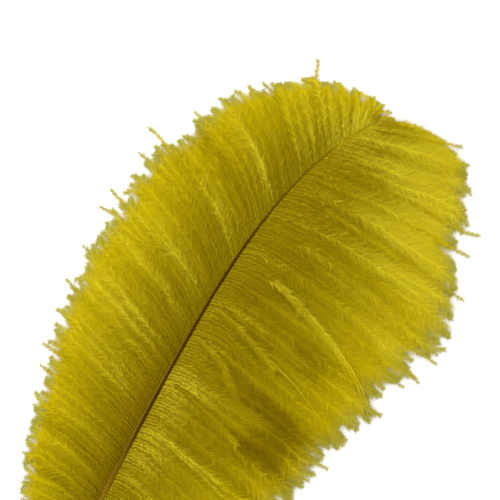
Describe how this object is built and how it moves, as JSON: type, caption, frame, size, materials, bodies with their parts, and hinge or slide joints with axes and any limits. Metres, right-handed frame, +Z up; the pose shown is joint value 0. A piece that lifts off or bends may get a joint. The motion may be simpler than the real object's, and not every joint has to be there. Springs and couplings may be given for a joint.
{
  "type": "ostrich feather",
  "caption": "Dyed yellow ostrich plume lying flat: a thin bent shaft with a bare quill, a narrow and a wide vane of soft drooping barbs.",
  "frame": {"origin": "on the shaft's flat underside, 150 mm from the quill's end", "axes": "+Y along the straight part of the shaft, from the quill towards the tip; +X towards the wide vane; +Z up, away from the surface that the feather lies on"},
  "size_m": [0.2316, 0.4317, 0.0161],
  "materials": {
    "barbs": "soft dyed down, matt with a faint silky sheen",
    "shaft": "dark brown horn, satin, paler along its left edge"
  },
  "bodies": {
    "root": {"feather": "barbs"}
  },
  "joints": []
}
